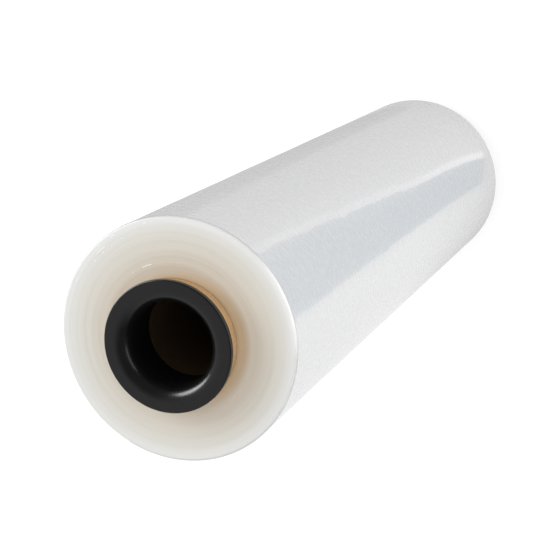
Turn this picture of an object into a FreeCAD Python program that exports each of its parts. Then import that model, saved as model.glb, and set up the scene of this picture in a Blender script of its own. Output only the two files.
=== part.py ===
import FreeCAD, Part
import math
import os

import Sketcher

os.makedirs("parts", exist_ok=True)

# A roll of stretch wrap, standing on end. The axis of its core is Z, and the
# origin is the middle of the face that it stands on, the lower plug's flange.

# Driving sizes in millimetres, degrees and counts
SIZES = {
    # wound film
    "film_width": 450.0,
    "film_diameter": 120.8,
    "rim_radius": 1.4,
    "tail_step": 0.3,
    "tail_angle": 118.0,
    "turn_band_count": 11.0,
    "turn_relief": 0.5,
    # cardboard core
    "core_bore": 50.8,
    "core_wall": 5.0,
    "core_overhang": 8.9,
    "core_edge": 0.4,
    # moulded plugs
    "flange_lip": 2.0,
    "flange_thickness": 3.0,
    "flange_face_edge": 1.2,
    "flange_back_edge": 0.5,
    "mouth_radius": 6.9,
    "throat_lip": 1.1,
    "throat_length": 7.0,
    "sleeve_wall": 2.0,
    "sleeve_length": 26.0,
    "sleeve_lead": 1.0,
    "rib_count": 8.0,
    "rib_height": 1.25,
    "rib_width": 1.8,
    "rib_end_gap": 3.0,
    "rib_lead": 4.0,
    "plug_clearance": 0.05,
    # how far a cutting outline runs past what it cuts
    "overcut": 2.0,
}

# How the height of the turn edges wanders from one band of turns to the next, in radians
BAND_WANDER = 2.4

# Places that more than one piece is worked out from
FILM_RADIUS = "(Sizes.film_diameter / 2)"
CORE_RADIUS = "(Sizes.core_bore / 2 + Sizes.core_wall)"
CORE_LENGTH = "(Sizes.film_width + 2 * Sizes.core_overhang)"
MIDDLE_HEIGHT = f"(Sizes.flange_thickness + {CORE_LENGTH} / 2)"
FLANGE_RADIUS = f"({CORE_RADIUS} + Sizes.flange_lip)"
RIB_RADIUS = "(Sizes.core_bore / 2 - Sizes.plug_clearance)"
SLEEVE_RADIUS = f"({RIB_RADIUS} - Sizes.rib_height)"
SLEEVE_BORE_RADIUS = f"({SLEEVE_RADIUS} - Sizes.sleeve_wall)"
THROAT_RADIUS = f"({SLEEVE_BORE_RADIUS} - Sizes.throat_lip)"


def size_sheet(doc):
    """Write the driving sizes to a sheet, one to a row, each under its own name."""
    sheet = doc.addObject("Spreadsheet::Sheet", "Sizes")
    for row, (name, value) in enumerate(SIZES.items(), start=1):
        sheet.set(f"A{row}", name.replace("_", " "))
        sheet.set(f"B{row}", str(value))
        sheet.setAlias(f"B{row}", name)
    doc.recompute()
    return sheet


def origin_plane(body, role):
    """Find one of the body's own origin planes."""
    return next(feature for feature in body.Origin.OriginFeatures if feature.Role == role)


def sketch_on(body, role, name):
    """Start a sketch on one of the body's own origin planes."""
    sketch = body.newObject("Sketcher::SketchObject", name)
    sketch.AttachmentSupport = (origin_plane(body, role), [""])
    sketch.MapMode = "FlatFace"
    return sketch


def hold(sketch, kind, name, formula, *where):
    """Add one dimension to a sketch and bind it to a formula in the sheet's sizes."""
    value = sketch.evalExpression(formula)
    index = sketch.addConstraint(Sketcher.Constraint(kind, *where, float(value)))
    sketch.renameConstraint(index, name)
    sketch.setExpression(f"Constraints.{name}", formula)


def corner_point(sketch, corner):
    """Work out where a corner of an outline starts, before the sketch is solved."""
    across, up = corner[1:3]
    return FreeCAD.Vector(sketch.evalExpression(across), sketch.evalExpression(up), 0)


def draw_outline(sketch, corners):
    """Draw a closed outline. A corner is (name, across, up), and one that starts an
    arc has a fourth entry, ("x" or "y", across, up, turn): the arc's centre, the
    coordinate that holds it, and +1 or -1 for the way round."""
    axis = FreeCAD.Vector(0, 0, 1)
    starts = []
    ends = []
    for index, corner in enumerate(corners):
        here = corner_point(sketch, corner)
        there = corner_point(sketch, corners[(index + 1) % len(corners)])
        if len(corner) == 3:
            edge = sketch.addGeometry(Part.LineSegment(here, there), False)
            starts.append((edge, 1))
            ends.append((edge, 2))
            continue
        held_by, across, up, turn = corner[3]
        centre = FreeCAD.Vector(sketch.evalExpression(across), sketch.evalExpression(up), 0)
        first, last = (here, there) if turn > 0 else (there, here)
        angles = [math.atan2(point.y - centre.y, point.x - centre.x) for point in (first, last)]
        circle = Part.Circle(centre, axis, (here - centre).Length)
        edge = sketch.addGeometry(Part.ArcOfCircle(circle, *angles), False)
        starts.append((edge, 1 if turn > 0 else 2))
        ends.append((edge, 2 if turn > 0 else 1))
        if held_by == "x":
            hold(sketch, "DistanceX", f"{corner[0]}_centre_across", across, -1, 1, edge, 3)
        else:
            hold(sketch, "DistanceY", f"{corner[0]}_centre_up", up, -1, 1, edge, 3)
    for index, end in enumerate(ends):
        following = starts[(index + 1) % len(starts)]
        sketch.addConstraint(Sketcher.Constraint("Coincident", *end, *following))
    for corner, start in zip(corners, starts):
        hold(sketch, "DistanceX", f"{corner[0]}_across", corner[1], -1, 1, *start)
        hold(sketch, "DistanceY", f"{corner[0]}_up", corner[2], -1, 1, *start)


def turn_about_axis(body, kind, name, sketch):
    """Turn an outline all the way round the upright axis, to add or to cut."""
    feature = body.newObject(f"PartDesign::{kind}", name)
    feature.Profile = sketch
    feature.ReferenceAxis = (sketch, ["V_Axis"])
    feature.Angle = 360.0
    return feature


def pad_along_axis(body, name, sketch, length):
    """Give an outline a length along the axis, half of it on each side."""
    pad = body.newObject("PartDesign::Pad", name)
    pad.Profile = sketch
    pad.SideType = "Symmetric"
    pad.setExpression("Length", length)
    return pad


# Wound film
def turn_edge_corners(band_count):
    """The step that each band of turns makes in the end face, from the core outwards."""
    corners = []
    pitch = f"({FILM_RADIUS} - Sizes.rim_radius - {CORE_RADIUS}) / {band_count}"
    for band in range(band_count):
        share = 0.5 + 0.5 * math.sin(BAND_WANDER * band)
        depth = f"Sizes.film_width / 2 - Sizes.turn_relief * {share:.3f}"
        inner = f"{CORE_RADIUS} + {pitch} * {band}" if band else f"{CORE_RADIUS} - Sizes.overcut"
        outer = f"{CORE_RADIUS} + {pitch} * {band + 1}"
        corners.append((f"band{band}_inner", inner, depth))
        corners.append((f"band{band}_outer", outer, depth))
    return corners


def film_roll(doc, sheet):
    """The film, with its turns as one solid. Seen along the axis it is a spiral of two
    half circles, whose step is the free tail edge of the web."""
    body = doc.addObject("PartDesign::Body", "film_roll")
    step = "Sizes.tail_step"
    plan = sketch_on(body, "XY_Plane", "turn_plan")
    draw_outline(plan, [
        ("tail_top", FILM_RADIUS, "0", ("y", f"{step} / 4", "0", 1)),
        ("half_turn", f"{step} / 2 - {FILM_RADIUS}", "0", ("y", f"-{step} / 4", "0", 1)),
        ("tail_foot", f"{FILM_RADIUS} - {step}", "0"),
    ])
    hole = plan.addGeometry(Part.Circle(FreeCAD.Vector(), FreeCAD.Vector(0, 0, 1), 1.0), False)
    plan.addConstraint(Sketcher.Constraint("Coincident", hole, 3, -1, 1))
    hold(plan, "Radius", "core_hole", CORE_RADIUS, hole)
    pad_along_axis(body, "winding", plan, "Sizes.film_width")

    # The edges of the turns stand at slightly different heights, and the rim is rounded.
    rim = "Sizes.rim_radius"
    top = "Sizes.film_width / 2"
    face = sketch_on(body, "XZ_Plane", "turn_edges")
    band_count = int(round(sheet.evalExpression("Sizes.turn_band_count")))
    draw_outline(face, turn_edge_corners(band_count) + [
        ("rim_inner", f"{FILM_RADIUS} - {rim}", top, ("x", f"{FILM_RADIUS} - {rim}", f"{top} - {rim}", -1)),
        ("rim_outer", FILM_RADIUS, f"{top} - {rim}"),
        ("outside", f"{FILM_RADIUS} + Sizes.overcut", f"{top} - {rim}"),
        ("outside_top", f"{FILM_RADIUS} + Sizes.overcut", f"{top} + Sizes.overcut"),
        ("inside_top", f"{CORE_RADIUS} - Sizes.overcut", f"{top} + Sizes.overcut"),
    ])
    groove = turn_about_axis(body, "Groove", "end_face", face)
    both_ends = body.newObject("PartDesign::Mirrored", "both_end_faces")
    both_ends.Originals = [groove]
    both_ends.MirrorPlane = (origin_plane(body, "XY_Plane"), [""])
    body.Tip = both_ends
    body.setExpression("Placement.Rotation.Angle", "Sizes.tail_angle")
    body.setExpression("Placement.Base.z", MIDDLE_HEIGHT)
    return body


# Cardboard core
def core_tube(doc):
    """The cardboard tube, with its cut ends slightly eased."""
    body = doc.addObject("PartDesign::Body", "core_tube")
    half = f"{CORE_LENGTH} / 2"
    edge = "Sizes.core_edge"
    bore = "Sizes.core_bore / 2"
    section = sketch_on(body, "XZ_Plane", "tube_section")
    draw_outline(section, [
        ("bore_foot", bore, f"{edge} - {half}"),
        ("foot_inner", f"{bore} + {edge}", f"-{half}"),
        ("foot_outer", f"{CORE_RADIUS} - {edge}", f"-{half}"),
        ("wall_foot", CORE_RADIUS, f"{edge} - {half}"),
        ("wall_head", CORE_RADIUS, f"{half} - {edge}"),
        ("head_outer", f"{CORE_RADIUS} - {edge}", half),
        ("head_inner", f"{bore} + {edge}", half),
        ("bore_head", bore, f"{half} - {edge}"),
    ])
    body.Tip = turn_about_axis(body, "Revolution", "tube", section)
    body.setExpression("Placement.Base.z", MIDDLE_HEIGHT)
    return body


# Moulded plugs
def plug_shell(body):
    """Flange, rounded mouth, throat and sleeve as one turned wall. Its zero height is
    the flange's back, which seats on the end of the core."""
    thickness = "Sizes.flange_thickness"
    face_edge = "Sizes.flange_face_edge"
    back_edge = "Sizes.flange_back_edge"
    mouth = "Sizes.mouth_radius"
    lead = "Sizes.sleeve_lead"
    mouth_foot = f"{thickness} - {mouth}"
    throat_foot = f"{mouth_foot} - Sizes.throat_length"
    sleeve_foot = "-Sizes.sleeve_length"
    section = sketch_on(body, "XZ_Plane", "plug_section")
    draw_outline(section, [
        ("sleeve_head", SLEEVE_RADIUS, "0"),
        ("back_outer", f"{FLANGE_RADIUS} - {back_edge}", "0"),
        ("side_foot", FLANGE_RADIUS, back_edge),
        ("side_head", FLANGE_RADIUS, f"{thickness} - {face_edge}",
         ("x", f"{FLANGE_RADIUS} - {face_edge}", f"{thickness} - {face_edge}", 1)),
        ("face_outer", f"{FLANGE_RADIUS} - {face_edge}", thickness),
        ("mouth_head", f"{THROAT_RADIUS} + {mouth}", thickness,
         ("x", f"{THROAT_RADIUS} + {mouth}", mouth_foot, 1)),
        ("throat_head", THROAT_RADIUS, mouth_foot),
        ("throat_foot", THROAT_RADIUS, throat_foot),
        ("bore_head", SLEEVE_BORE_RADIUS, f"{throat_foot} - Sizes.throat_lip"),
        ("bore_foot", SLEEVE_BORE_RADIUS, sleeve_foot),
        ("lead_foot", f"{SLEEVE_RADIUS} - {lead}", sleeve_foot),
        ("lead_head", SLEEVE_RADIUS, f"{sleeve_foot} + {lead}"),
    ])
    return turn_about_axis(body, "Revolution", "shell", section)


def plug_ribs(body):
    """Crush ribs along the sleeve, which grip the bore of the core, each tapered at its
    lower end so that the plug can be pushed in."""
    half = "Sizes.rib_width / 2"
    root = f"{SLEEVE_RADIUS} - Sizes.sleeve_wall / 2"
    tip = f"sqrt({RIB_RADIUS}^2 - ({half})^2)"
    outline = sketch_on(body, "XY_Plane", "rib_outline")
    draw_outline(outline, [
        ("root_low", root, f"-{half}"),
        ("tip_low", tip, f"-{half}", ("x", "0", "0", 1)),
        ("tip_high", tip, half),
        ("root_high", root, half),
    ])
    rib = body.newObject("PartDesign::Pad", "rib")
    rib.Profile = outline
    rib.Reversed = True
    rib.setExpression("Length", "Sizes.sleeve_length - Sizes.rib_end_gap")
    ribs = body.newObject("PartDesign::PolarPattern", "ribs")
    ribs.Originals = [rib]
    ribs.Axis = (outline, ["N_Axis"])
    ribs.Angle = 360.0
    ribs.setExpression("Occurrences", "Sizes.rib_count")
    body.Tip = ribs

    rib_foot = "Sizes.rib_end_gap - Sizes.sleeve_length"
    taper = sketch_on(body, "XZ_Plane", "rib_taper")
    draw_outline(taper, [
        ("taper_root", SLEEVE_RADIUS, rib_foot),
        ("taper_below", SLEEVE_RADIUS, f"{rib_foot} - Sizes.overcut / 2"),
        ("taper_outside", f"{RIB_RADIUS} + Sizes.overcut", f"{rib_foot} - Sizes.overcut / 2"),
        ("taper_above", f"{RIB_RADIUS} + Sizes.overcut", f"{rib_foot} + Sizes.rib_lead"),
        ("taper_head", RIB_RADIUS, f"{rib_foot} + Sizes.rib_lead"),
    ])
    return turn_about_axis(body, "Groove", "rib_lead_in", taper)


def core_plug(doc, name, seat_height, half_turn):
    """One plug, seated at the given height. The lower one is turned over."""
    body = doc.addObject("PartDesign::Body", name)
    plug_shell(body)
    body.Tip = plug_ribs(body)
    body.Placement = FreeCAD.Placement(FreeCAD.Vector(), FreeCAD.Rotation(FreeCAD.Vector(1, 0, 0), half_turn))
    body.setExpression("Placement.Base.z", seat_height)
    return body


def check(doc, bodies):
    """Stop if any feature failed, any sketch is loose or any piece isn't one sound solid."""
    for thing in doc.Objects:
        if "Invalid" in thing.State or "Error" in thing.State:
            raise RuntimeError(f"{thing.Label} failed: {thing.State}")
        if thing.TypeId == "Sketcher::SketchObject" and not thing.FullyConstrained:
            raise RuntimeError(f"{thing.Label} isn't fully held")
    for body in bodies:
        shape = body.Shape
        if shape.isNull() or not shape.isValid() or len(shape.Solids) != 1:
            raise RuntimeError(f"{body.Label} isn't one sound solid")


def main():
    doc = FreeCAD.newDocument("StretchWrapRoll")
    sheet = size_sheet(doc)
    bodies = [
        film_roll(doc, sheet),
        core_tube(doc),
        core_plug(doc, "core_plug_top", f"Sizes.flange_thickness + {CORE_LENGTH}", 0.0),
        core_plug(doc, "core_plug_bottom", "Sizes.flange_thickness", 180.0),
    ]
    doc.recompute()
    check(doc, bodies)
    for body in bodies:
        body.Shape.exportStep(f"parts/{body.Label}.step")
        box = body.Shape.BoundBox
        print(f"{body.Label}: {body.Shape.Volume / 1000:.1f} cm3, z {box.ZMin:.2f} to {box.ZMax:.2f} mm")


main()
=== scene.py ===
import math
import random

import bmesh
import bpy
from bpy.props import FloatProperty, FloatVectorProperty, IntProperty, PointerProperty
from mathutils import Matrix, Quaternion, Vector


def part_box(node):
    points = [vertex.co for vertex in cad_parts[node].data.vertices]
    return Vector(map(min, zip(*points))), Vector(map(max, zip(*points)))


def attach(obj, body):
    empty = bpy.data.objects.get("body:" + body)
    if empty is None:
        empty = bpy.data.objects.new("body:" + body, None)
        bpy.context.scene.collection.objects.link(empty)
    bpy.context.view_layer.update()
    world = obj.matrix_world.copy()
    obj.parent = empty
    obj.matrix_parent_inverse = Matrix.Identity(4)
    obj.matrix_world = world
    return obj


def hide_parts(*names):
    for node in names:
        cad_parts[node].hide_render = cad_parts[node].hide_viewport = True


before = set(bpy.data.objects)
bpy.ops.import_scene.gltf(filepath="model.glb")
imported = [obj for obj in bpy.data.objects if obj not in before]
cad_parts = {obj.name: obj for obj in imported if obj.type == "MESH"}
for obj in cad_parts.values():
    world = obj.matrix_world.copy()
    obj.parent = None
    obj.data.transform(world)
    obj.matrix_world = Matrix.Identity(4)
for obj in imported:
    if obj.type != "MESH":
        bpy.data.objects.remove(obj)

bl_info = {
    "name": "Stretch Wrap Roll",
    "version": (1, 0, 0),
    "blender": (4, 5, 0),
    "location": "3D View > Sidebar > Wrap Roll",
    "description": "Finishes a roll of stretch wrap: wound film, cardboard core and moulded plugs",
    "category": "Object",
}

MM = 0.001
FULL_TURN = 2 * math.pi
AXIS = (0, 0, 1)
MERGE_DISTANCE = 0.002 * MM

# Places that come from the frame, in metres
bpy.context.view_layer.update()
FILM_LOW, FILM_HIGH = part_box("film_roll")
CORE_LOW, CORE_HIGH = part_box("core_tube")
PLUG_LOW, PLUG_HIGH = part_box("core_plug_top")
CORE_RADIUS = CORE_HIGH.x
FLANGE_RADIUS = PLUG_HIGH.x
FLANGE_SEAT = CORE_HIGH.z
SLEEVE_FOOT = PLUG_LOW.z
MIDDLE_HEIGHT = (FILM_LOW.z + FILM_HIGH.z) / 2

# The wound film: its outline is a spiral that starts at the free tail edge
TAIL_RADIUS = 60.35 * MM
TAIL_STEP = 0.3 * MM
TAIL_ANGLE = math.radians(118.0)
TAIL_GAP = math.radians(0.12)
RIM_RADIUS = 1.4 * MM
RIM_STEPS = 6
RIM_CENTRE = TAIL_RADIUS - RIM_RADIUS
SIDE_TOP = FILM_HIGH.z - RIM_RADIUS
SIDE_BOTTOM = FILM_LOW.z + RIM_RADIUS
RIPPLE_EASE = 12 * MM

# Bands of turns on the end faces, and where each band's profile has its points
BAND_COUNT = 11
BAND_WANDER = 2.4
BAND_SHARES = (0.15, 0.32, 0.5, 0.68, 0.85)
UPPER_SEED = 0
LOWER_SEED = 3

# Turns near the core are warm where the core shows through, and warmer on one side as painted warm shade.
# The innermost turns get a painted contact shade
WARM_SHADE_CENTRE = (-1.9 * MM, -3.1 * MM, 0.0)
CONTACT_SHADE_WIDTH = 0.5 * MM
# Distances from the film's side between which the look of the end face gives way to that of the side
SIDE_FADE = (0.45 * MM, 0.32 * MM)
# Depths under the upper face between which the thin line of painted shade under the rim sets in, and then
# fades out
SHADE_LINE_START = (2.2 * MM, 1.5 * MM)
SHADE_LINE_END = (0.7 * MM, 0.4 * MM)
# Where the painted highlight on the upper rim is strongest, as an angle round the roll, and what it sets in
# between: cosines of the angle from there, distances from the side and depths under the upper face
RIM_HIGHLIGHT_ANGLE = math.radians(256.0)
RIM_HIGHLIGHT_COSINES = (0.90, 0.985)
RIM_HIGHLIGHT_INSETS = (3.2 * MM, 0.8 * MM)
RIM_HIGHLIGHT_DEPTHS = (1.4 * MM, 0.9 * MM)

# Short stretches of film edge that stand up from the upper end face: radius in millimetres,
# start and sweep in degrees
# The material paints these edges white, as painted glints
STRAY_EDGES = (
    (38.3, -17.6, 8.1), (38.3, -2.2, 1.4), (49.1, -11.5, 1.4), (54.5, 0.0, 1.6), (54.7, 6.1, 2.0),
    (54.7, 12.6, 1.8), (54.8, -6.8, 1.0), (56.3, 3.9, 7.2), (56.6, 1.5, 1.3), (57.4, 25.3, 4.0),
    (57.9, -22.1, 2.7), (58.1, -24.8, 1.6), (58.2, -26.6, 0.8), (58.4, -31.4, 1.3), (58.3, -4.4, 3.9),
    (58.6, 5.2, 2.2), (58.8, -12.6, 1.1),
)
STRAY_WIDTH = 0.4 * MM
STRAY_DEPTH = 0.6 * MM
STRAY_TAPER = 0.25 * MM
STRAY_STEPS_A_DEGREE = 2

# The cardboard core
CORE_BORE_RADIUS = 25.4 * MM
CORE_EDGE = 0.4 * MM
COLLAR_ROWS = 14
BORE_ROWS = 90
SEAM_HALF_WIDTH = 1.5 * MM
# Depths in the wall between which the painted shade of the bore gives way to the board
BORE_SHADE_FADE = (0.1 * MM, 0.5 * MM)

# The moulded plugs
FACE_EDGE = 0.7 * MM
FACE_EDGE_STEPS = 8
BACK_EDGE = 0.5 * MM
MOUTH_RADIUS = 6.9 * MM
MOUTH_STEPS = 18
THROAT_RADIUS = 21.0 * MM
THROAT_LENGTH = 7.0 * MM
SLEEVE_BORE_RADIUS = 22.1 * MM
SLEEVE_RADIUS = 24.1 * MM
SLEEVE_LEAD = 1.0 * MM
RIB_COUNT = 8
RIB_RADIUS = 25.35 * MM
RIB_ROOT = SLEEVE_RADIUS - 1.0 * MM
RIB_WIDTH = 1.8 * MM
RIB_END_GAP = 3.0 * MM
RIB_LEAD = 4.0 * MM

# Angles between faces, in degrees, above which an edge is sharp
FILM_SHARP = 30
CORE_SHARP = 30
PLUG_SHARP = 25


# Settings

class FilmSettings(bpy.types.PropertyGroup):
    """What a user would change on the wound film."""
    segments: IntProperty(
        name="Segments", description="Columns round the roll", default=240, min=48, max=360)
    rows: IntProperty(
        name="Rows", description="Rows along the width of the film", default=140, min=20, max=300)
    turn_relief: FloatProperty(
        name="Turn relief", description="How far bands of turn edges stand apart",
        default=0.15 * MM, unit="LENGTH")
    ripple: FloatProperty(
        name="Gauge ripple", description="Height of the soft ridges round the roll",
        default=0.05 * MM, unit="LENGTH")
    fine_relief: FloatProperty(
        name="Fine relief", description="Unevenness of the turn edges within a band",
        default=0.03 * MM, unit="LENGTH")
    side_colour: FloatVectorProperty(
        name="Side colour", description="Milky colour of the film's outer turns",
        subtype="COLOR", size=3, min=0, max=1, default=(0.70, 0.703, 0.706))
    side_gloss: FloatProperty(
        name="Side gloss", description="Gloss that the turns under the outer one add",
        default=0.5, min=0, max=1)
    # The rim's light colour is partly a painted highlight
    rim_colour_and_highlight: FloatVectorProperty(
        name="Rim colour", description="Colour of the turn edges at the rim",
        subtype="COLOR", size=3, min=0, max=1, default=(0.86, 0.86, 0.84))
    edge_colour: FloatVectorProperty(
        name="Edge colour", description="Colour of the outer turns' edges",
        subtype="COLOR", size=3, min=0, max=1, default=(0.785, 0.767, 0.705))
    middle_colour: FloatVectorProperty(
        name="Middle colour", description="Colour of the turn edges further in",
        subtype="COLOR", size=3, min=0, max=1, default=(0.73, 0.645, 0.53))
    inner_colour: FloatVectorProperty(
        name="Inner colour", description="Colour of the turn edges near the core",
        subtype="COLOR", size=3, min=0, max=1, default=(0.70, 0.55, 0.37))
    # Painted shade on the rounded shoulder of the rim
    shoulder_shade_tone: FloatProperty(
        name="Shoulder tone", description="How dark the rounded edge is beside the rim",
        default=0.87, min=0, max=1)
    # Painted shade: a thin dark line on the side under the upper rim
    rim_shade_line_tone: FloatProperty(
        name="Rim line tone", description="How dark the thin line under the upper rim is",
        default=0.76, min=0, max=1)
    # Strength of the painted highlight on the upper rim
    rim_highlight_strength: FloatProperty(
        name="Rim whiteness", description="How white the upper rim is where it is whitened",
        default=0.72, min=0, max=1)


class CoreSettings(bpy.types.PropertyGroup):
    """What a user would change on the cardboard core."""
    segments: IntProperty(
        name="Segments", description="Columns round the core", default=160, min=48, max=256)
    ply_pitch: FloatProperty(
        name="Ply pitch", description="Distance along the core from seam to seam",
        default=92 * MM, unit="LENGTH")
    seam_depth: FloatProperty(
        name="Seam depth", description="Depth of the seam between two plies",
        default=0.15 * MM, unit="LENGTH")
    board_colour: FloatVectorProperty(
        name="Board colour", description="Colour of the kraft board",
        subtype="COLOR", size=3, min=0, max=1, default=(0.515, 0.33, 0.165))
    # Painted shade down the bore, as a darker innermost ply
    bore_shade_tone: FloatProperty(
        name="Liner tone", description="How dark the innermost ply is beside the others",
        default=0.22, min=0, max=1)


class PlugSettings(bpy.types.PropertyGroup):
    """What a user would change on the moulded plugs."""
    segments: IntProperty(
        name="Segments", description="Columns round the plug", default=160, min=48, max=256)
    plastic_colour: FloatVectorProperty(
        name="Plastic colour", description="Colour of the moulded plastic",
        subtype="COLOR", size=3, min=0, max=1, default=(0.006, 0.006, 0.0065))


class StageSettings(bpy.types.PropertyGroup):
    """Camera, light and floor."""
    lens: FloatProperty(
        name="Lens", description="Focal length for a 36 mm wide sensor, in millimetres",
        default=96.85)
    camera_height: FloatProperty(
        name="Camera height", description="Height above the film's upper face",
        default=0.62933, unit="LENGTH")
    camera_offset: FloatProperty(
        name="Camera offset", description="Distance from the axis, towards -Y",
        default=0.34104, unit="LENGTH")
    aim_across: FloatProperty(
        name="Aim across", description="Where the camera looks, along X",
        default=-0.00389, unit="LENGTH")
    aim_height: FloatProperty(
        name="Aim height", description="Height on the axis that the camera looks at",
        default=0.32212, unit="LENGTH")
    camera_roll: FloatProperty(
        name="Camera roll", description="Turn of the camera about its line of sight",
        default=math.radians(124.378), subtype="ANGLE")
    floor_glow: FloatProperty(
        name="Floor glow", description="What the camera sees of the floor besides its lit colour",
        default=0.72, min=0, max=1)
    gloss_glow: FloatProperty(
        name="Gloss glow", description="What glossy reflections see of the floor besides it",
        default=0.62, min=0, max=1)
    # Painted shade in reflections of the floor beside the roll's foot
    foot_shade_glow: FloatProperty(
        name="Foot glow", description="The same, right beside the roll's foot",
        default=0.36, min=0, max=1)
    ambient: FloatProperty(
        name="Ambient light", description="Level of the soft light from all round",
        default=0.79, min=0, max=1)
    back_level: FloatProperty(
        name="Back level", description="How bright gloss sees the studio behind the roll",
        default=0.55, min=0, max=1)
    front_level: FloatProperty(
        name="Front level", description="How bright gloss sees the studio on the camera's side",
        default=0.1, min=0, max=1)


# Small helpers for meshes

def mesh_object(context, bm, name, material):
    """Make an object of a bmesh, in one material."""
    mesh = bpy.data.meshes.new(name)
    bm.to_mesh(mesh)
    bm.free()
    mesh.materials.append(material)
    piece = bpy.data.objects.new(name, mesh)
    context.scene.collection.objects.link(piece)
    return piece


def finish_piece(context, bm, name, node, material, sharp_degrees):
    """Make a smooth-shaded piece of a bmesh, hang it under the root body, and hide the node that it stands
    for.
    """
    bmesh.ops.recalc_face_normals(bm, faces=bm.faces)
    piece = mesh_object(context, bm, name, material)
    piece.data.shade_smooth()
    piece.data.set_sharp_from_angle(angle=math.radians(sharp_degrees))
    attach(piece, "root")
    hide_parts(node)
    return piece


def clamp(value):
    """Hold a value between 0 and 1."""
    return min(1.0, max(0.0, value))


def closed_outline(bm, points):
    """Draw an outline of (distance from the axis, height) points in the plane through the axis."""
    verts = [bm.verts.new((across, 0.0, height)) for across, height in points]
    edges = [bm.edges.new((first, second)) for first, second in zip(verts, verts[1:] + verts[:1])]
    return verts, edges


def round_corner(centre_across, centre_height, radius, start, end, steps):
    """Points of an arc, its angles in degrees from straight outwards, anticlockwise."""
    angles = [math.radians(start + (end - start) * step / steps) for step in range(steps + 1)]
    return [(centre_across + radius * math.cos(angle), centre_height + radius * math.sin(angle))
            for angle in angles]


def turned_solid(points, segments):
    """Turn a closed outline once round the axis."""
    bm = bmesh.new()
    verts, edges = closed_outline(bm, points)
    bmesh.ops.spin(bm, geom=verts + edges, axis=AXIS, angle=FULL_TURN, steps=segments, use_merge=True)
    bmesh.ops.remove_doubles(bm, verts=bm.verts, dist=MERGE_DISTANCE)
    return bm


def move_outwards(vert, radius, new_radius):
    """Move a vertex from one distance from the axis to another."""
    vert.co.x *= new_radius / radius
    vert.co.y *= new_radius / radius


# Wound film

def face_lines(settings, seed):
    """Lines across one end face from the core outwards, as (radius, depth under the highest turn).
    Bands of turns stand at slightly different heights, and run into each other softly."""
    dice = random.Random(seed)
    pitch = (RIM_CENTRE - CORE_RADIUS) / BAND_COUNT
    lines = [(CORE_RADIUS, settings.turn_relief)]
    for band in range(BAND_COUNT):
        depth = settings.turn_relief * (0.5 + 0.5 * math.sin(BAND_WANDER * band + seed))
        for share in BAND_SHARES:
            uneven = settings.fine_relief * dice.uniform(0.0, 1.0)
            lines.append((CORE_RADIUS + pitch * (band + share), depth + uneven))
    return lines


def film_outline(settings):
    """Section of the film on one side of the axis: upper face, rim, side, rim and lower face."""
    upper = [(radius, FILM_HIGH.z - depth) for radius, depth in face_lines(settings, UPPER_SEED)]
    lower = [(radius, FILM_LOW.z + depth) for radius, depth in face_lines(settings, LOWER_SEED)]
    side = [(TAIL_RADIUS, SIDE_TOP + (SIDE_BOTTOM - SIDE_TOP) * row / settings.rows)
            for row in range(1, settings.rows)]
    outline = upper + round_corner(RIM_CENTRE, SIDE_TOP, RIM_RADIUS, 90, 0, RIM_STEPS) + side
    return outline + round_corner(RIM_CENTRE, SIDE_BOTTOM, RIM_RADIUS, 0, -90, RIM_STEPS) + lower[::-1]


def gauge_ripple(height, share, depth):
    """Soft ridges that thick and thin lanes of the film build up round the roll, as a height that is
    nowhere above the film's outer radius."""
    turn = FULL_TURN * share
    # Each wave's strength, its length along the roll and its shift round the roll
    waves = (
        (0.5, 9.1 * MM, 0.6 * math.sin(turn)),
        (0.3, 4.3 * MM, 1.7 + 0.5 * math.cos(2 * turn)),
        (0.2, 21.0 * MM, 0.4),
        (0.4, 17.0 * MM, 7 * turn),
    )
    return depth * sum(strength * (math.sin(height / length + shift) - 1.0)
                       for strength, length, shift in waves)


def wind_spiral(verts, ripple):
    """Draw the film's outline in round the roll, so that its tail edge stands out, and ripple its side."""
    for vert in verts:
        radius = math.hypot(vert.co.x, vert.co.y)
        share = ((math.atan2(vert.co.y, vert.co.x) - TAIL_ANGLE) % FULL_TURN) / FULL_TURN
        out = clamp((radius - RIM_CENTRE) / RIM_RADIUS)
        ease = clamp(min(SIDE_TOP - vert.co.z, vert.co.z - SIDE_BOTTOM) / RIPPLE_EASE)
        ridge = gauge_ripple(vert.co.z, share, ripple) * ease * out
        move_outwards(vert, radius, radius - TAIL_STEP * share * out + ridge)


def stray_turn_edges(bm, stray_glint):
    """Short ribbons of film edge, marked so that the material can paint them white as painted glints."""
    head = FILM_HIGH.z
    foot = head - STRAY_DEPTH
    half = STRAY_WIDTH / 2
    for radius, start, sweep in STRAY_EDGES:
        inside = radius * MM - half
        outside = radius * MM + half
        corners = ((inside, foot), (outside, foot), (outside, head), (inside, head))
        turn = Matrix.Rotation(math.radians(start), 3, "Z")
        verts = [bm.verts.new(turn @ Vector((reach, 0, height))) for reach, height in corners]
        section = bm.faces.new(verts)
        spun = bmesh.ops.spin(bm, geom=[section, *section.edges, *verts], axis=AXIS,
                              angle=math.radians(sweep), steps=max(2, int(sweep * STRAY_STEPS_A_DEGREE)))
        far_end = [item for item in spun["geom_last"] if isinstance(item, bmesh.types.BMVert)]
        for vert in [*section.verts, *far_end]:
            if vert.co.z > head - half:
                vert.co.z -= STRAY_TAPER
    for vert in bm.verts:
        vert[stray_glint] = 1.0


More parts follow.
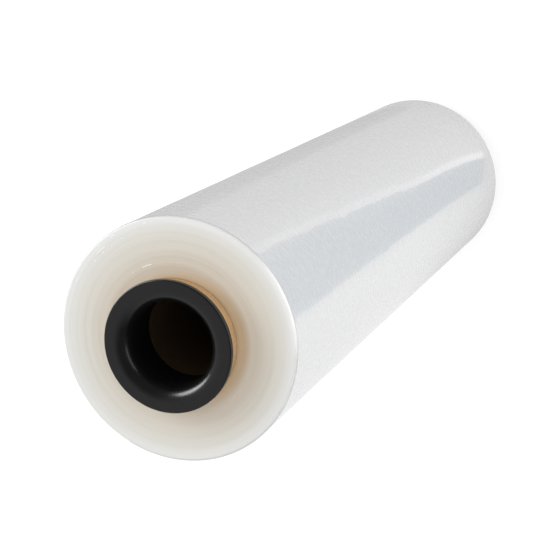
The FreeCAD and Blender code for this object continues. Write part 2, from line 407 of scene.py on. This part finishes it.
def film_mesh(settings):
    """The film: end faces with bands of turn edges, rounded rims, and a side that spirals to the tail."""
    bm = bmesh.new()
    stray_turn_edges(bm, bm.verts.layers.float.new("stray_edge_glint"))
    strays = set(bm.verts)
    verts, edges = closed_outline(bm, film_outline(settings))
    bmesh.ops.rotate(bm, verts=verts, matrix=Matrix.Rotation(TAIL_ANGLE + TAIL_GAP / 2, 3, "Z"))
    spun = bmesh.ops.spin(bm, geom=verts + edges, axis=AXIS, angle=FULL_TURN - TAIL_GAP,
                          steps=settings.segments)
    last_edges = [item for item in spun["geom_last"] if isinstance(item, bmesh.types.BMEdge)]
    bmesh.ops.bridge_loops(bm, edges=edges + last_edges)
    wind_spiral([vert for vert in bm.verts if vert not in strays], settings.ripple)
    return bm


# Cardboard core

def core_outline():
    """Section of the tube on one side of the axis, with rows of points where the outer seam shows."""
    low = CORE_LOW.z
    high = CORE_HIGH.z
    collar = FILM_LOW.z - low
    head = [high - CORE_EDGE - (collar - CORE_EDGE) * row / COLLAR_ROWS for row in range(COLLAR_ROWS + 1)]
    foot = [low + high - height for height in reversed(head)]
    bore_length = high - low - 2 * CORE_EDGE
    bore = [low + CORE_EDGE + bore_length * row / BORE_ROWS for row in range(BORE_ROWS + 1)]
    outline = [(CORE_BORE_RADIUS + CORE_EDGE, high), (CORE_RADIUS - CORE_EDGE, high)]
    outline += [(CORE_RADIUS, height) for height in head + foot]
    outline += [(CORE_RADIUS - CORE_EDGE, low), (CORE_BORE_RADIUS + CORE_EDGE, low)]
    return outline + [(CORE_BORE_RADIUS, height) for height in bore]


def core_mesh(settings):
    """The tube, with the helical seam of its outer ply pressed in."""
    bm = turned_solid(core_outline(), settings.segments)
    for vert in bm.verts:
        radius = math.hypot(vert.co.x, vert.co.y)
        lap = (math.atan2(vert.co.y, vert.co.x) / FULL_TURN + vert.co.z / settings.ply_pitch) % 1.0
        from_seam = min(lap, 1.0 - lap) * settings.ply_pitch
        groove = settings.seam_depth * max(0.0, 1.0 - from_seam / SEAM_HALF_WIDTH)
        if radius > CORE_RADIUS - CORE_EDGE / 2:
            move_outwards(vert, radius, radius - groove)
    return bm


# Moulded plugs

def plug_outline():
    """Section of a plug with its flange up: rounded mouth, flange, sleeve and throat."""
    face = PLUG_HIGH.z
    mouth_foot = face - MOUTH_RADIUS
    throat_foot = mouth_foot - THROAT_LENGTH
    throat_flare = SLEEVE_BORE_RADIUS - THROAT_RADIUS
    mouth = round_corner(THROAT_RADIUS + MOUTH_RADIUS, mouth_foot, MOUTH_RADIUS, 180, 90, MOUTH_STEPS)
    rim_and_highlight = round_corner(FLANGE_RADIUS - FACE_EDGE, face - FACE_EDGE, FACE_EDGE, 90, 0, FACE_EDGE_STEPS)
    return mouth + rim_and_highlight + [
        (FLANGE_RADIUS, FLANGE_SEAT + BACK_EDGE),
        (FLANGE_RADIUS - BACK_EDGE, FLANGE_SEAT),
        (SLEEVE_RADIUS, FLANGE_SEAT),
        (SLEEVE_RADIUS, SLEEVE_FOOT + SLEEVE_LEAD),
        (SLEEVE_RADIUS - SLEEVE_LEAD, SLEEVE_FOOT),
        (SLEEVE_BORE_RADIUS, SLEEVE_FOOT),
        (SLEEVE_BORE_RADIUS, throat_foot - throat_flare),
        (THROAT_RADIUS, throat_foot),
    ]


def plug_mesh(settings):
    """One plug with its flange up, and crush ribs on its sleeve that slope in at the foot."""
    bm = turned_solid(plug_outline(), settings.segments)
    rib_foot = SLEEVE_FOOT + RIB_END_GAP
    rib_size = (RIB_RADIUS - RIB_ROOT, RIB_WIDTH, FLANGE_SEAT - rib_foot)
    rib_place = Vector(((RIB_RADIUS + RIB_ROOT) / 2, 0, (FLANGE_SEAT + rib_foot) / 2))
    block = Matrix.Translation(rib_place) @ Matrix.Diagonal((*rib_size, 1.0))
    for rib in range(RIB_COUNT):
        turn = Matrix.Rotation(FULL_TURN * rib / RIB_COUNT, 4, "Z")
        made = bmesh.ops.create_cube(bm, size=1.0, matrix=turn @ block)
        for vert in made["verts"]:
            at_foot = vert.co.z < rib_foot + RIB_LEAD / 2
            if at_foot and math.hypot(vert.co.x, vert.co.y) > SLEEVE_RADIUS:
                vert.co.z += RIB_LEAD
    return bm


# Shader helpers

# The range that most of a noise texture's values lie in
NOISE_SPAN = (0.3, 0.7)


def grey(level):
    """A neutral colour."""
    return (level, level, level)


class Shading:
    """A node tree that is being built, with short ways to add the nodes that repeat."""

    def __init__(self, tree):
        self.nodes = tree.nodes
        self.links = tree.links

    def add(self, kind, place, **settings):
        """Add one node and set its named settings."""
        node = self.nodes.new(kind)
        node.location = place
        for key, value in settings.items():
            setattr(node, key, value)
        return node

    def feed(self, socket, value):
        """Give an input its value: a number, a colour or another node's output."""
        if isinstance(value, (int, float)):
            socket.default_value = value
        elif isinstance(value, (tuple, list)):
            socket.default_value = (*value, 1.0)
        else:
            self.links.new(value, socket)

    def object_place(self, place):
        """Where a point lies on the piece, in metres."""
        return self.add("ShaderNodeTexCoord", place).outputs["Object"]

    def split(self, vector, place):
        """Take a vector apart."""
        node = self.add("ShaderNodeSeparateXYZ", place)
        self.feed(node.inputs[0], vector)
        return node.outputs

    def math(self, operation, first, second, place):
        """Add one operation on two values."""
        node = self.add("ShaderNodeMath", place, operation=operation)
        self.feed(node.inputs[0], first)
        self.feed(node.inputs[1], second)
        return node.outputs[0]

    def rescale(self, value, old, new, place):
        """Rescale a value from one range to another, held at its ends."""
        node = self.add("ShaderNodeMapRange", place)
        for name, number in zip(("From Min", "From Max", "To Min", "To Max"), (*old, *new)):
            node.inputs[name].default_value = number
        self.feed(node.inputs["Value"], value)
        return node.outputs["Result"]

    def rise(self, value, low, high, place):
        """Mask that grows from 0 to 1 as a value goes from low to high."""
        return self.rescale(value, (low, high), (0.0, 1.0), place)

    def near(self, value, limit, gaps, place):
        """Mask that grows from 0 to 1 as a value nears a limit, from the wide gap to the narrow one."""
        wide, narrow = gaps
        return self.rise(value, limit - wide, limit - narrow, place)

    def ramp(self, factor, stops, place):
        """Add a colour ramp with the given stops."""
        node = self.add("ShaderNodeValToRGB", place)
        elements = node.color_ramp.elements
        while len(elements) < len(stops):
            elements.new(0.5)
        for element, (position, colour) in zip(elements, stops):
            element.position = position
            element.color = (*colour, 1.0)
        self.feed(node.inputs["Fac"], factor)
        return node.outputs["Color"]

    def blend_values(self, factor, first, second, place):
        """Mix two values by a mask."""
        node = self.add("ShaderNodeMix", place, data_type="FLOAT")
        self.feed(node.inputs["Factor"], factor)
        self.feed(node.inputs[2], first)
        self.feed(node.inputs[3], second)
        return node.outputs[0]

    def blend_colours(self, factor, first, second, place, mode="MIX"):
        """Mix two colours by a mask or a number."""
        node = self.add("ShaderNodeMix", place, data_type="RGBA", blend_type=mode)
        self.feed(node.inputs["Factor"], factor)
        self.feed(node.inputs[6], first)
        self.feed(node.inputs[7], second)
        return node.outputs[2]

    def tint(self, colour, tones, place):
        """Multiply a colour by each tone in turn."""
        x, y = place
        for step, tone in enumerate(tones):
            colour = self.blend_colours(1.0, colour, tone, (x + 160 * step, y), "MULTIPLY")
        return colour

    def noise(self, vector, scale, detail, place):
        """Add plain noise. Its scale is in patches a metre."""
        node = self.add("ShaderNodeTexNoise", place)
        node.inputs["Scale"].default_value = scale
        node.inputs["Detail"].default_value = detail
        self.feed(node.inputs["Vector"], vector)
        return node.outputs["Fac"]

    def lanes(self, vector, place, along=0.0, outward=0.0, around=1.0, detail=3.0):
        """Place the shared group of lines round the axis with its own values."""
        node = self.add("ShaderNodeGroup", place)
        node.node_tree = bpy.data.node_groups.get("Lines Round Axis") or lane_group()
        self.feed(node.inputs["Vector"], vector)
        for name, value in (("Along", along), ("Outward", outward), ("Round", around), ("Detail", detail)):
            node.inputs[name].default_value = value
        return node.outputs

    def axis_distance(self, vector, place):
        """How far a point lies from the axis."""
        return self.lanes(vector, place, detail=0.0)["Radius"]

    def bump(self, shader, height, strength, distance, place):
        """Give a shader's surface small hills."""
        node = self.add("ShaderNodeBump", place)
        node.inputs["Strength"].default_value = strength
        node.inputs["Distance"].default_value = distance
        self.feed(node.inputs["Height"], height)
        self.feed(shader.inputs["Normal"], node.outputs["Normal"])


def new_material(name):
    """Start a material, and give back its node tree and principled shader too."""
    material = bpy.data.materials.new(name)
    material.use_nodes = True
    return material, Shading(material.node_tree), material.node_tree.nodes["Principled BSDF"]


def lane_group():
    """Node group for lines that run round the axis: its noise is long round the piece, and
    as fine as asked along the axis and outwards from it."""
    group = bpy.data.node_groups.new("Lines Round Axis", "ShaderNodeTree")
    group.interface.new_socket(name="Vector", in_out="INPUT", socket_type="NodeSocketVector")
    for name, value in (("Along", 400.0), ("Outward", 900.0), ("Round", 12.0), ("Detail", 3.0)):
        socket = group.interface.new_socket(name=name, in_out="INPUT", socket_type="NodeSocketFloat")
        socket.default_value = value
    for name in ("Lines", "Radius"):
        group.interface.new_socket(name=name, in_out="OUTPUT", socket_type="NodeSocketFloat")
    shading = Shading(group)
    entry = shading.add("NodeGroupInput", (-900, 0)).outputs
    leave = shading.add("NodeGroupOutput", (600, 0)).inputs
    parts = shading.split(entry["Vector"], (-700, 100))
    flat = shading.add("ShaderNodeCombineXYZ", (-520, 200))
    stretched = shading.add("ShaderNodeCombineXYZ", (-300, -100))
    for axis in "XY":
        shading.feed(flat.inputs[axis], parts[axis])
    for axis, density, y in (("X", "Round", 0), ("Y", "Round", -150), ("Z", "Along", -300)):
        scaled = shading.math("MULTIPLY", parts[axis], entry[density], (-500, y))
        shading.feed(stretched.inputs[axis], scaled)
    length = shading.add("ShaderNodeVectorMath", (-340, 260), operation="LENGTH")
    shading.feed(length.inputs[0], flat.outputs[0])
    radius = length.outputs["Value"]
    noise = shading.add("ShaderNodeTexNoise", (60, 0), noise_dimensions="4D")
    noise.inputs["Scale"].default_value = 1.0
    noise.inputs["Roughness"].default_value = 0.6
    shading.feed(noise.inputs["Vector"], stretched.outputs[0])
    shading.feed(noise.inputs["W"], shading.math("MULTIPLY", radius, entry["Outward"], (-160, 200)))
    shading.feed(noise.inputs["Detail"], entry["Detail"])
    shading.feed(leave["Lines"], noise.outputs["Fac"])
    shading.feed(leave["Radius"], radius)
    return group


# Film material

def face_colour(shading, settings, here, radius, turns):
    """Colour of the end faces: warm beside the core, with painted shade on one side and at the core, milky
    further out, and whitest at the rim, partly as a painted highlight.
    """
    # The warmth is centred off the axis, which paints warm shade on one side of the core
    aside = shading.add("ShaderNodeVectorMath", (-1500, -400), operation="SUBTRACT")
    aside.inputs[1].default_value = WARM_SHADE_CENTRE
    shading.feed(aside.inputs[0], here)
    warm_shade_reach = shading.axis_distance(aside.outputs[0], (-1300, -400))
    near_core = shading.rise(warm_shade_reach, CORE_RADIUS, TAIL_RADIUS, (-1050, -400))
    near_rim = shading.rise(radius, CORE_RADIUS, TAIL_RADIUS, (-1050, -560))
    outwards = shading.rise(near_rim, low=0.5, high=0.85, place=(-900, -700))
    depth = shading.blend_values(outwards, near_core, near_rim, (-900, -480))
    # The rim is lighter, partly as a painted highlight, and the rounded shoulder beside it darker as
    # painted shade
    rim_and_highlight = tuple(settings.rim_colour_and_highlight)
    shoulder_shade = tuple(settings.shoulder_shade_tone * value for value in rim_and_highlight)
    # Shares of the way from the core to the rim, and the colours there
    stops = ((0.0, tuple(settings.inner_colour)), (0.12, tuple(settings.middle_colour)),
             (0.75, tuple(settings.edge_colour)), (0.92, rim_and_highlight), (0.955, rim_and_highlight), (0.975, shoulder_shade))
    plain = shading.ramp(depth, stops, (-800, -400))
    bands = shading.lanes(here, (-1300, 60), along=60.0, outward=420.0, around=9.0)["Lines"]
    # Painted contact shade: darker in a narrow ring where the film meets the core
    contact_shade = shading.rescale(radius, (CORE_RADIUS, CORE_RADIUS + CONTACT_SHADE_WIDTH), (0.6, 1.0), (-800, -860))
    band_tone = shading.rescale(bands, NOISE_SPAN, (0.985, 1.015), (-1050, 60))
    turn_tone = shading.rescale(turns, NOISE_SPAN, (0.968, 1.02), (-1050, -180))
    return shading.tint(plain, (contact_shade, band_tone, turn_tone), (-520, -400))


def side_colour(shading, settings, height, streaks):
    """Colour of the side: milky, with fine streaks and a thin line of painted shade under the upper rim."""
    started = shading.near(height, FILM_HIGH.z, SHADE_LINE_START, (-1050, 700))
    ended = shading.near(height, FILM_HIGH.z, SHADE_LINE_END, (-1050, 560))
    shade_line = shading.math("SUBTRACT", started, ended, (-860, 640))
    shade_line_tone = shading.rescale(shade_line, (0.0, 1.0), (1.0, settings.rim_shade_line_tone), (-700, 640))
    streak_tone = shading.rescale(streaks, NOISE_SPAN, (0.992, 1.008), (-1050, 300))
    return shading.tint(tuple(settings.side_colour), (streak_tone, shade_line_tone), (-560, 240))


def painted_rim_highlight(shading, settings, here, radius, height):
    """Mask of the stretch of the upper rim that gets a painted highlight."""
    towards = shading.add("ShaderNodeVectorMath", (-1300, -900), operation="DOT_PRODUCT")
    towards.inputs[1].default_value = (math.cos(RIM_HIGHLIGHT_ANGLE), math.sin(RIM_HIGHLIGHT_ANGLE), 0.0)
    shading.feed(towards.inputs[0], here)
    cosine = shading.math("DIVIDE", towards.outputs["Value"], radius, (-1100, -900))
    stretch = shading.rescale(cosine, RIM_HIGHLIGHT_COSINES, (0.0, settings.rim_highlight_strength), (-900, -900))
    near_rim = shading.near(radius, TAIL_RADIUS, RIM_HIGHLIGHT_INSETS, (-900, -1050))
    near_top = shading.near(height, FILM_HIGH.z, RIM_HIGHLIGHT_DEPTHS, (-900, -1200))
    outer = shading.math("MULTIPLY", stretch, near_rim, (-700, -950))
    return shading.math("MULTIPLY", outer, near_top, (-560, -950))


def film_material(settings):
    """Clear cling film that is milky in the depth of the roll and warm where the core shows through, with
    painted shade and painted highlights on its faces and rim.
    """
    material, shading, shader = new_material("clear stretch film")
    here = shading.object_place((-1600, 0))
    height = shading.split(here, (-1300, 560))["Z"]
    lanes = shading.lanes(here, (-1300, 300), along=1700.0, around=260.0)
    streaks = lanes["Lines"]
    radius = lanes["Radius"]
    turns = shading.lanes(here, (-1300, -180), outward=950.0, around=10.0)["Lines"]
    # Pure white, used for the painted highlight on the rim and the painted glints on the stray edges
    white = grey(1.0)

    on_side = shading.near(radius, TAIL_RADIUS, SIDE_FADE, (-800, 0))
    face = face_colour(shading, settings, here, radius, turns)
    side = side_colour(shading, settings, height, streaks)
    rim_highlight = painted_rim_highlight(shading, settings, here, radius, height)
    # The stray edges are painted white, as painted glints
    stray_glint = shading.add("ShaderNodeAttribute", (-400, -160), attribute_name="stray_edge_glint").outputs["Fac"]
    both = shading.blend_colours(on_side, face, side, (-400, 0))
    highlighted = shading.blend_colours(rim_highlight, both, white, (-300, 0))
    shading.feed(shader.inputs["Base Color"], shading.blend_colours(stray_glint, highlighted, white, (-200, 0)))

    rough_side = shading.rescale(streaks, (0.35, 0.65), (0.16, 0.34), (-560, 420))
    rough_face = shading.rescale(turns, NOISE_SPAN, (0.32, 0.5), (-560, -560))
    roughness = shading.blend_values(on_side, rough_face, rough_side, (-200, 300))
    shading.feed(shader.inputs["Roughness"], roughness)
    lift = shading.math("ADD", streaks, turns, (-560, -760))
    shading.bump(shader, lift, strength=0.12, distance=0.06 * MM, place=(-200, -500))

    gloss = shading.math("MULTIPLY", on_side, settings.side_gloss, (-380, 520))
    shading.feed(shader.inputs["Coat Weight"], gloss)
    shader.inputs["Coat Roughness"].default_value = 0.05
    shader.inputs["IOR"].default_value = 1.5
    return material


# Core and plug materials

def board_material(settings):
    """Kraft board with fibres and soft blotches. The innermost ply is darkened as painted shade down the
    bore.
    """
    material, shading, shader = new_material("kraft core board")
    here = shading.object_place((-1600, 0))
    radius = shading.axis_distance(here, (-1200, 480))
    fibres = shading.noise(here, scale=900.0, detail=6.0, place=(-1200, 200))
    blotches = shading.noise(here, scale=70.0, detail=3.0, place=(-1200, -60))
    fibre_tone = shading.rescale(fibres, NOISE_SPAN, (0.86, 1.1), (-980, 200))
    blotch_tone = shading.rescale(blotches, NOISE_SPAN, (0.92, 1.06), (-980, -60))
    # Painted shade: the innermost ply is darkened
    bore_shade_span = tuple(CORE_BORE_RADIUS + depth for depth in BORE_SHADE_FADE)
    bore_shade_tone = shading.rescale(radius, bore_shade_span, (settings.bore_shade_tone, 1.0), (-980, 420))
    colour = shading.tint(tuple(settings.board_colour), (fibre_tone, blotch_tone, bore_shade_tone), (-700, 200))
    roughness = shading.rescale(fibres, NOISE_SPAN, (0.75, 0.95), (-700, -200))
    shading.feed(shader.inputs["Base Color"], colour)
    shading.feed(shader.inputs["Roughness"], roughness)
    shading.bump(shader, fibres, strength=0.4, distance=0.05 * MM, place=(-300, -300))
    shader.inputs["Specular IOR Level"].default_value = 0.25
    return material


def plug_material(settings):
    """Black moulded plastic with a fine satin grain."""
    material, shading, shader = new_material("black moulded plastic")
    here = shading.object_place((-1400, 0))
    grain = shading.noise(here, scale=2600.0, detail=2.0, place=(-1100, 100))
    cloud = shading.noise(here, scale=90.0, detail=3.0, place=(-1100, -150))
    tone = shading.rescale(cloud, NOISE_SPAN, (0.85, 1.15), (-850, -150))
    colour = shading.tint(tuple(settings.plastic_colour), (tone,), (-600, 0))
    roughness = shading.rescale(cloud, NOISE_SPAN, (0.22, 0.28), (-600, -250))
    shading.feed(shader.inputs["Base Color"], colour)
    shading.feed(shader.inputs["Roughness"], roughness)
    shading.bump(shader, grain, strength=0.25, distance=0.02 * MM, place=(-300, -300))
    shader.inputs["IOR"].default_value = 1.5
    return material


# Stage

# Thin cards on the floor show only in glossy reflections, as studio flags do. Neighbours share a
# border, which runs from the roll's foot outwards
BLUE_OUTSIDE = ((-0.042, -0.062), (-0.26, -0.285), (-0.10, -0.43))
BLUE_TO_WHITE = ((-0.018, -0.067), (-0.010, -0.126), (0.029, -0.181), (0.133, -0.262))
WHITE_TO_GREY = ((-0.012, -0.068), (0.004, -0.125), (0.050, -0.172), (0.114, -0.209))
GREY_OUTSIDE = ((0.2, -0.26),)
GREY_TO_DARK = ((0.060, -0.036), (0.128, -0.011), (0.25, 0.03), (0.42, -0.05))
GREY_FOOT = ((0.044, -0.056), (0.018, -0.069))
DARK_OUTSIDE = ((0.50, 0.40), (0.05, 0.45))
DARK_FOOT = ((0.0, 0.075), (0.053, 0.053), (0.072, 0.015))

# Each card's name, corners, colour at the roll's foot and colour far from it
CARDS = (
    ("blue_flag", BLUE_OUTSIDE + BLUE_TO_WHITE[::-1], (0.40, 0.48, 0.54), (0.06, 0.2, 0.33)),
    ("white_strip", BLUE_TO_WHITE + WHITE_TO_GREY[::-1], grey(1.2), grey(1.2)),
    ("grey_flag", WHITE_TO_GREY + GREY_OUTSIDE + GREY_TO_DARK[::-1] + GREY_FOOT, grey(0.75), grey(0.75)),
    ("dark_flag", GREY_TO_DARK + DARK_OUTSIDE + DARK_FOOT, grey(0.6), grey(0.6)),
)
CARD_HEIGHT = 0.6 * MM
FLOOR_REACH = 6.0
# Distances from the axis over which the cards and the floor beside the roll's foot change
CARD_FADE = (0.06, 0.35)
FOOT_FADE = (0.062, 0.13)

# Each lamp's name, distance, azimuth, elevation, height that it is aimed at, width, height, watts, slant
# and what doesn't see it
LAMPS = (
    ("key", 1.0, 25, 26, FILM_HIGH.z, 0.6, 0.6, 3.4, 0, "visible_glossy"),
    ("window", 1.0, 25, 16, FILM_HIGH.z, 0.82, 0.40, 9.8, -35, "visible_diffuse"),
    ("fill", 1.6, -108, 4, MIDDLE_HEIGHT, 1.0, 1.0, 14.5, 0, "visible_glossy"),
    ("strip", 1.6, -110, 6, FILM_HIGH.z, 1.4, 0.5, 4.2, 0, "visible_diffuse"),
)


def area_lamp(context, name, distance, azimuth, elevation, aim_height, width, height, watts, slant, unseen):
    """Hang one soft lamp that points at the roll's axis. The slant turns it about its own beam."""
    azimuth = math.radians(azimuth)
    elevation = math.radians(elevation)
    away = Vector((math.cos(elevation) * math.cos(azimuth), math.cos(elevation) * math.sin(azimuth),
                   math.sin(elevation)))
    data = bpy.data.lights.new(name, "AREA")
    data.shape = "RECTANGLE"
    data.size = width
    data.size_y = height
    data.energy = watts
    lamp = bpy.data.objects.new(name, data)
    lamp.location = Vector((0, 0, aim_height)) + away * distance
    lamp.rotation_mode = "QUATERNION"
    lamp.rotation_quaternion = (-away).to_track_quat("-Z", "Y") @ Quaternion(AXIS, math.radians(slant))
    context.scene.collection.objects.link(lamp)
    setattr(lamp, unseen, False)


def foot_distance(shading, near, far, place):
    """How far a point of the floor lies from the roll's foot, from 0 at near to 1 at far."""
    x, y = place
    reach = shading.add("ShaderNodeVectorMath", (x + 180, y), operation="LENGTH")
    shading.feed(reach.inputs[0], shading.object_place(place))
    return shading.rise(reach.outputs["Value"], near, far, (x + 360, y))


def flag_card(context, name, corners, near_colour, far_colour):
    """Lay one card just over the floor. Its colour changes from the roll's foot outwards."""
    bm = bmesh.new()
    bm.faces.new([bm.verts.new((x, y, CARD_HEIGHT)) for x, y in corners])
    material, shading, shader = new_material(name + " card")
    shading.nodes.remove(shader)
    glow = shading.add("ShaderNodeEmission", (-200, 0))
    away = foot_distance(shading, *CARD_FADE, (-1000, 0))
    shading.feed(glow.inputs["Color"], shading.blend_colours(away, near_colour, far_colour, (-400, 0)))
    shading.feed(shading.nodes["Material Output"].inputs["Surface"], glow.outputs[0])
    card = mesh_object(context, bm, name, material)
    card.visible_camera = False
    card.visible_diffuse = False
    card.visible_shadow = False
    card.visible_transmission = False


def floor_material(settings):
    """Pale floor: white to the camera and in reflections, apart from the roll's shadow and a painted shade
    in reflections beside the roll's foot.
    """
    material, shading, shader = new_material("pale floor")
    shading.nodes.remove(shader)
    diffuse = shading.add("ShaderNodeBsdfDiffuse", (-400, 100))
    diffuse.inputs["Color"].default_value = (*grey(0.4), 1.0)
    glow = shading.add("ShaderNodeEmission", (-400, -100))
    glow.inputs["Color"].default_value = (*grey(1.0), 1.0)
    path = shading.add("ShaderNodeLightPath", (-1100, -100)).outputs
    away = foot_distance(shading, *FOOT_FADE, (-1500, -300))
    gloss_with_foot_shade = shading.rescale(away, (0.0, 1.0), (settings.foot_shade_glow, settings.gloss_glow), (-1100, -300))
    gloss = shading.math("MULTIPLY", path["Is Glossy Ray"], gloss_with_foot_shade, (-900, -200))
    seen = shading.math("MULTIPLY", path["Is Camera Ray"], settings.floor_glow, (-900, -50))
    shading.feed(glow.inputs["Strength"], shading.math("MAXIMUM", seen, gloss, (-700, -100)))
    both = shading.add("ShaderNodeAddShader", (-200, 0))
    shading.feed(both.inputs[0], diffuse.outputs[0])
    shading.feed(both.inputs[1], glow.outputs[0])
    shading.feed(shading.nodes["Material Output"].inputs["Surface"], both.outputs[0])
    return material


def set_floor(context, settings):
    """Lay the floor."""
    bm = bmesh.new()
    bmesh.ops.create_grid(bm, x_segments=2, y_segments=2, size=FLOOR_REACH)
    floor = mesh_object(context, bm, "floor", floor_material(settings))


def set_world(context, settings):
    """Plain soft light from all round. The camera sees it white, and gloss sees a dim studio."""
    world = bpy.data.worlds.new("studio")
    context.scene.world = world
    world.use_nodes = True
    shading = Shading(world.node_tree)
    background = shading.nodes["Background"]
    background.inputs["Color"].default_value = (*grey(1.0), 1.0)
    path = shading.add("ShaderNodeLightPath", (-900, 0)).outputs
    towards = shading.add("ShaderNodeTexCoord", (-1300, -200)).outputs["Generated"]
    backwards = shading.split(towards, (-1100, -200))["Y"]
    levels = (settings.front_level, settings.back_level)
    studio = shading.rescale(backwards, (-0.15, 0.4), levels, (-900, -250))
    less = shading.math("SUBTRACT", studio, settings.ambient, (-700, -250))
    gloss = shading.math("MULTIPLY", less, path["Is Glossy Ray"], (-550, -250))
    white = shading.math("MULTIPLY", path["Is Camera Ray"], 1.0 - settings.ambient, (-550, 0))
    both = shading.math("ADD", gloss, white, (-400, -100))
    strength = shading.math("ADD", both, settings.ambient, (-250, -100))
    shading.feed(background.inputs["Strength"], strength)


def set_camera(context, settings):
    """Look down on the roll from beside its axis, as in the photograph."""
    data = bpy.data.cameras.new("camera")
    data.sensor_width = 36.0
    data.lens = settings.lens
    camera = bpy.data.objects.new("camera", data)
    place = Vector((0.0, -settings.camera_offset, FILM_HIGH.z + settings.camera_height))
    aim = Vector((settings.aim_across, 0.0, settings.aim_height))
    camera.location = place
    camera.rotation_mode = "QUATERNION"
    level = (aim - place).to_track_quat("-Z", "Y").to_matrix().to_4x4()
    roll = Matrix.Rotation(-settings.camera_roll, 4, "Z")
    camera.rotation_quaternion = (level @ roll).to_quaternion()
    context.scene.collection.objects.link(camera)
    context.scene.camera = camera


# Steps that build the roll and its stage

class RollOperator:
    """What the operators share."""
    bl_options = {"REGISTER", "UNDO"}


class WRAPROLL_OT_wind_film(RollOperator, bpy.types.Operator):
    """Wind the film on the core"""
    bl_idname = "wrap_roll.wind_film"
    bl_label = "Wind Film"

    def execute(self, context):
        settings = context.scene.wrap_roll_film
        finish_piece(context, film_mesh(settings), "wound_film", "film_roll",
                     film_material(settings), FILM_SHARP)
        return {"FINISHED"}


class WRAPROLL_OT_roll_core(RollOperator, bpy.types.Operator):
    """Make the cardboard core"""
    bl_idname = "wrap_roll.roll_core"
    bl_label = "Roll Core"

    def execute(self, context):
        settings = context.scene.wrap_roll_core
        finish_piece(context, core_mesh(settings), "kraft_core", "core_tube",
                     board_material(settings), CORE_SHARP)
        return {"FINISHED"}


class WRAPROLL_OT_mould_plugs(RollOperator, bpy.types.Operator):
    """Mould the two plugs"""
    bl_idname = "wrap_roll.mould_plugs"
    bl_label = "Mould Plugs"

    def execute(self, context):
        settings = context.scene.wrap_roll_plug
        material = plug_material(settings)
        upper = plug_mesh(settings)
        lower = plug_mesh(settings)
        upside_down = Matrix.Translation((0, 0, 2 * MIDDLE_HEIGHT)) @ Matrix.Rotation(math.pi, 4, "X")
        bmesh.ops.transform(lower, matrix=upside_down, verts=lower.verts)
        for plug, name, node in ((upper, "moulded_plug_top", "core_plug_top"),
                                 (lower, "moulded_plug_bottom", "core_plug_bottom")):
            finish_piece(context, plug, name, node, material, PLUG_SHARP)
        return {"FINISHED"}


class WRAPROLL_OT_set_stage(RollOperator, bpy.types.Operator):
    """Set the floor, the cards, the lamps and the camera"""
    bl_idname = "wrap_roll.set_stage"
    bl_label = "Set Stage"

    def execute(self, context):
        settings = context.scene.wrap_roll_stage
        set_floor(context, settings)
        for card in CARDS:
            flag_card(context, *card)
        set_world(context, settings)
        for lamp in LAMPS:
            area_lamp(context, *lamp)
        set_camera(context, settings)
        context.scene.view_settings.view_transform = "Standard"
        return {"FINISHED"}


# Sidebar and registration

GROUPS = {
    "wrap_roll_film": FilmSettings,
    "wrap_roll_core": CoreSettings,
    "wrap_roll_plug": PlugSettings,
    "wrap_roll_stage": StageSettings,
}
STEPS = (WRAPROLL_OT_wind_film, WRAPROLL_OT_roll_core, WRAPROLL_OT_mould_plugs, WRAPROLL_OT_set_stage)


class WRAPROLL_PT_sidebar(bpy.types.Panel):
    """The roll's settings and steps."""
    bl_label = "Wrap Roll"
    bl_idname = "WRAPROLL_PT_sidebar"
    bl_space_type = "VIEW_3D"
    bl_region_type = "UI"
    bl_category = "Wrap Roll"

    def draw(self, context):
        for name, kind in GROUPS.items():
            box = self.layout.box()
            for field in kind.__annotations__:
                box.prop(getattr(context.scene, name), field)
        for step in STEPS:
            self.layout.operator(step.bl_idname)


def register():
    for name, kind in GROUPS.items():
        bpy.utils.register_class(kind)
        setattr(bpy.types.Scene, name, PointerProperty(type=kind))
    for kind in (*STEPS, WRAPROLL_PT_sidebar):
        bpy.utils.register_class(kind)


def unregister():
    for kind in reversed((*STEPS, WRAPROLL_PT_sidebar)):
        bpy.utils.unregister_class(kind)
    for name, kind in GROUPS.items():
        delattr(bpy.types.Scene, name)
        bpy.utils.unregister_class(kind)


def main():
    register()
    bpy.ops.wrap_roll.wind_film()
    bpy.ops.wrap_roll.roll_core()
    bpy.ops.wrap_roll.mould_plugs()
    bpy.ops.wrap_roll.set_stage()


if __name__ == "__main__":
    main()
